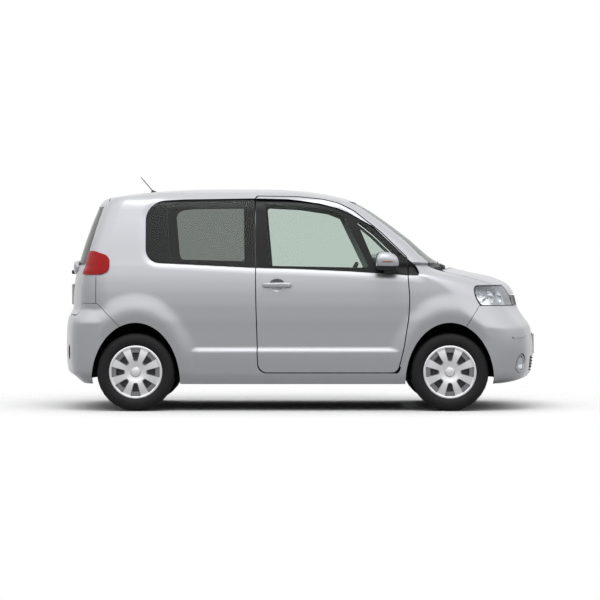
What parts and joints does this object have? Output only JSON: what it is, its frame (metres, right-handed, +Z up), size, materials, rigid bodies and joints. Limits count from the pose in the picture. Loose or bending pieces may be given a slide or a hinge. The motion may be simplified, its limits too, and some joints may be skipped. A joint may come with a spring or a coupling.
{
  "type": "compact minivan",
  "caption": "Compact tall minivan with a long hinged driver's door, fixed sliding door on the far side, lifting bonnet and tailgate, steered front wheels.",
  "frame": {"origin": "on the ground, at the middle of the length and width", "axes": "+X forward, +Y to the car's left, +Z up"},
  "size_m": [3.7598, 1.97, 1.8525],
  "materials": {
    "silver_paint": "metallic clear coat",
    "bumper_paint": "metallic clear coat",
    "underbody": "satin",
    "dark_plastic": "matte",
    "seal_rubber": "matte",
    "cast_metal": "cast",
    "interior_plastic": "grained",
    "seat_fabric": "woven",
    "clear_glass": "clear",
    "privacy_glass": "dark tint",
    "red_lens": "glossy lens",
    "lamp_lens": "clear lens",
    "hinge_steel": "satin",
    "tyre_rubber": "matte",
    "wheel_cover": "satin silver"
  },
  "bodies": {
    "body": {"floor_pan": "underbody", "wheel_houses_rear": "dark_plastic", "wheel_houses_front": "dark_plastic", "front_frame": "underbody", "bonnet_buffers": "seal_rubber", "engine": "cast_metal", "front_axle": "cast_metal", "rear_axle": "cast_metal", "dashboard": "interior_plastic", "steering_wheel": "interior_plastic", "seat_right": "seat_fabric", "seat_left": "seat_fabric", "rear_bench": "seat_fabric", "mirror_left": "silver_paint", "door_handle_left": "silver_paint", "aerial": "dark_plastic", "roof": "silver_paint", "windscreen": "clear_glass", "body_side_right": "silver_paint", "body_side_left": "silver_paint", "quarter_glass": "privacy_glass", "tail_lamps": "red_lens", "door_pins": "hinge_steel", "door_left": "silver_paint", "door_glass_left": "clear_glass", "front_bumper": "bumper_paint", "grille": "dark_plastic", "headlamps": "lamp_lens", "fender_right": "silver_paint", "fender_left": "silver_paint", "cowl": "dark_plastic", "bonnet_hinges": "hinge_steel", "rear_bumper": "bumper_paint", "tailgate_pins": "hinge_steel"},
    "driver_door": {"door_right": "silver_paint", "door_glass_right": "clear_glass", "mirror_right": "silver_paint", "door_handle_right": "silver_paint"},
    "bonnet_lid": {"bonnet": "silver_paint"},
    "tailgate_lid": {"tailgate": "silver_paint", "tailgate_glass": "privacy_glass"},
    "steer_right": {"knuckle_right": "cast_metal"},
    "steer_left": {"knuckle_left": "cast_metal"},
    "wheel_fr": {"tyre_front_right": "tyre_rubber", "wheel_front_right": "wheel_cover"},
    "wheel_fl": {"tyre_front_left": "tyre_rubber", "wheel_front_left": "wheel_cover"},
    "wheel_rr": {"tyre_rear_right": "tyre_rubber", "wheel_rear_right": "wheel_cover"},
    "wheel_rl": {"tyre_rear_left": "tyre_rubber", "wheel_rear_left": "wheel_cover"}
  },
  "joints": [
    {"name": "door_swing", "type": "hinge", "parent": "body", "child": "driver_door", "pos_m": [0.735, -0.785, 0.302], "axis": [0.0383, 0.0241, 0.999], "range_deg": [0, 65]},
    {"name": "bonnet_lift", "type": "hinge", "parent": "body", "child": "bonnet_lid", "pos_m": [1.105, 0, 1.075], "axis": [0, -1, 0], "range_deg": [0, 50]},
    {"name": "tailgate_lift", "type": "hinge", "parent": "body", "child": "tailgate_lid", "pos_m": [-1.476, 0, 1.668], "axis": [0, 1, 0], "range_deg": [0, 80]},
    {"name": "steer_right", "type": "hinge", "parent": "body", "child": "steer_right", "pos_m": [1.164, -0.712, 0.304], "axis": [0, 0, 1], "range_deg": [-35, 35]},
    {"name": "steer_left", "type": "hinge", "parent": "body", "child": "steer_left", "pos_m": [1.164, 0.712, 0.304], "axis": [0, 0, 1], "range_deg": [-35, 35]},
    {"name": "spin_front_right", "type": "hinge", "parent": "steer_right", "child": "wheel_fr", "pos_m": [1.164, -0.737, 0.304], "axis": [0, 1, 0], "continuous": true},
    {"name": "spin_front_left", "type": "hinge", "parent": "steer_left", "child": "wheel_fl", "pos_m": [1.164, 0.737, 0.304], "axis": [0, 1, 0], "continuous": true},
    {"name": "spin_rear_right", "type": "hinge", "parent": "body", "child": "wheel_rr", "pos_m": [-1.276, -0.737, 0.304], "axis": [0, 1, 0], "continuous": true},
    {"name": "spin_rear_left", "type": "hinge", "parent": "body", "child": "wheel_rl", "pos_m": [-1.276, 0.737, 0.304], "axis": [0, 1, 0], "continuous": true}
  ],
  "couplings": [
    {"joint": "steer_left", "follows": "steer_right", "ratio": 1}
  ]
}
